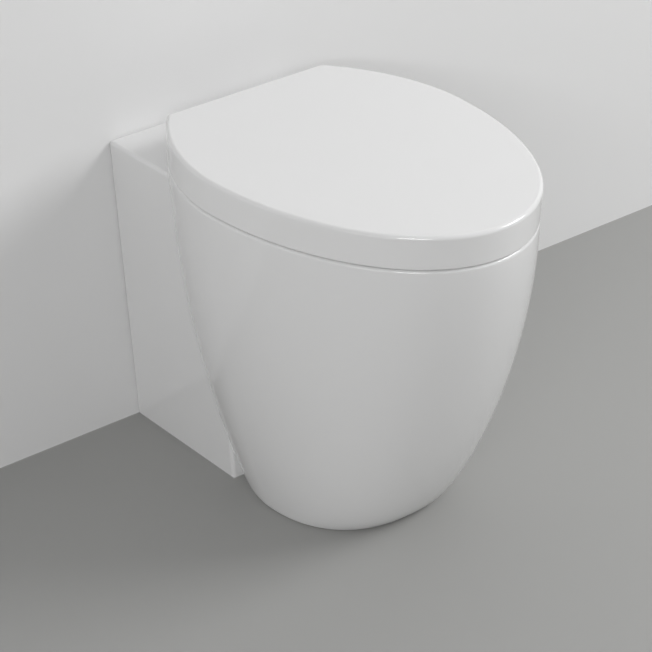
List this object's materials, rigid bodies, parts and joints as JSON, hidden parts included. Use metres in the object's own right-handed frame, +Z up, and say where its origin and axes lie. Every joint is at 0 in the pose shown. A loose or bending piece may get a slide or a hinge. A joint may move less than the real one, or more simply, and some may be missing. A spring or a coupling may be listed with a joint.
{
  "type": "back to wall toilet",
  "caption": "Back to wall toilet with an egg-shaped ceramic pan, a tapering rear block, a seat ring and a thick wrap-over cover on soft-close hinges.",
  "frame": {"origin": "on the floor, under the middle of the box round the part", "axes": "+Z up, +Y towards the wall, -Y towards the person who sits, +X to the right when facing the wall"},
  "size_m": [0.37, 0.5552, 0.456],
  "materials": {
    "glazed_ceramic": "white gloss glaze",
    "seat_plastic": "white gloss thermoset",
    "chrome": "polished",
    "steel": "zinc plated",
    "nylon": "natural nylon",
    "damper_plastic": "black moulded",
    "rubber": "matt black",
    "brass": "turned",
    "buffer_plastic": "soft white",
    "pipe_plastic": "white moulded pipe"
  },
  "bodies": {
    "pan": {"pan": "glazed_ceramic", "hinge_base_left": "chrome", "hinge_base_right": "chrome", "hinge_post_left": "chrome", "hinge_post_right": "chrome", "hinge_pin_left": "steel", "hinge_pin_right": "steel", "fixing_bolt_left": "steel", "fixing_bolt_right": "steel", "fixing_sleeve_left": "rubber", "fixing_sleeve_right": "rubber", "fixing_nuts": "brass", "fixing_washers": "steel", "flush_inlet_seal": "rubber", "outlet_connector": "pipe_plastic", "outlet_seal": "rubber", "floor_bracket_left": "steel", "floor_bracket_right": "steel", "clamp_bolts": "steel", "clamp_washers": "steel", "clamp_pads": "rubber"},
    "seat_ring": {"seat_ring": "seat_plastic", "ring_hinge_bushes": "nylon", "ring_damper": "damper_plastic", "ring_buffers": "buffer_plastic"},
    "cover": {"cover": "seat_plastic", "cover_hinge_bushes": "nylon", "cover_damper": "damper_plastic", "cover_buffers": "buffer_plastic"}
  },
  "joints": [
    {"name": "seat_ring_lift", "type": "hinge", "parent": "pan", "child": "seat_ring", "pos_m": [0, 0.197, 0.431], "axis": [-1, 0, 0], "range_deg": [0, 93]},
    {"name": "cover_lift", "type": "hinge", "parent": "seat_ring", "child": "cover", "pos_m": [0, 0.197, 0.431], "axis": [-1, 0, 0], "range_deg": [0, 92]}
  ]
}
